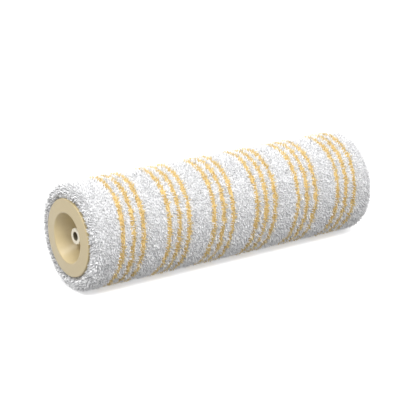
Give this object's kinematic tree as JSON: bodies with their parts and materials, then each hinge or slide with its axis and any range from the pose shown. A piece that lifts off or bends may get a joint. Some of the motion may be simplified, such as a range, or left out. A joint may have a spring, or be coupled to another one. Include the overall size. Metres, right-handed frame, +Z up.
{
  "type": "paint roller sleeve",
  "caption": "Striped long-pile paint roller sleeve with recessed end caps that spin on a central tube for a frame wire.",
  "frame": {"origin": "centre of the roller, on its axle axis", "axes": "+X along the axle from the near cap to the far cap, +Z up, +Y across"},
  "size_m": [0.25, 0.0764, 0.0764],
  "materials": {
    "white_pile": "matte",
    "gold_pile": "matte",
    "backing": "matte",
    "core": "satin",
    "cap": "satin",
    "axle_tube": "satin",
    "collar": "satin"
  },
  "bodies": {
    "axle": {"axle_tube": "axle_tube", "near_thrust_collar": "collar", "far_thrust_collar": "collar"},
    "roller": {"white_pile": "white_pile", "gold_stripe_1_a": "gold_pile", "gold_stripe_1_b": "gold_pile", "gold_stripe_1_c": "gold_pile", "gold_stripe_2_a": "gold_pile", "gold_stripe_2_b": "gold_pile", "gold_stripe_2_c": "gold_pile", "gold_stripe_3_a": "gold_pile", "gold_stripe_3_b": "gold_pile", "gold_stripe_3_c": "gold_pile", "gold_stripe_4_a": "gold_pile", "gold_stripe_4_b": "gold_pile", "gold_stripe_4_c": "gold_pile", "gold_stripe_5_a": "gold_pile", "gold_stripe_5_b": "gold_pile", "gold_stripe_5_c": "gold_pile", "gold_stripe_6_a": "gold_pile", "gold_stripe_6_b": "gold_pile", "gold_stripe_6_c": "gold_pile", "backing_fabric": "backing", "core_tube": "core", "near_end_cap": "cap", "far_end_cap": "cap"}
  },
  "joints": [
    {"name": "roller_spin", "type": "hinge", "parent": "axle", "child": "roller", "pos_m": [0, 0, 0], "axis": [1, 0, 0], "continuous": true}
  ]
}
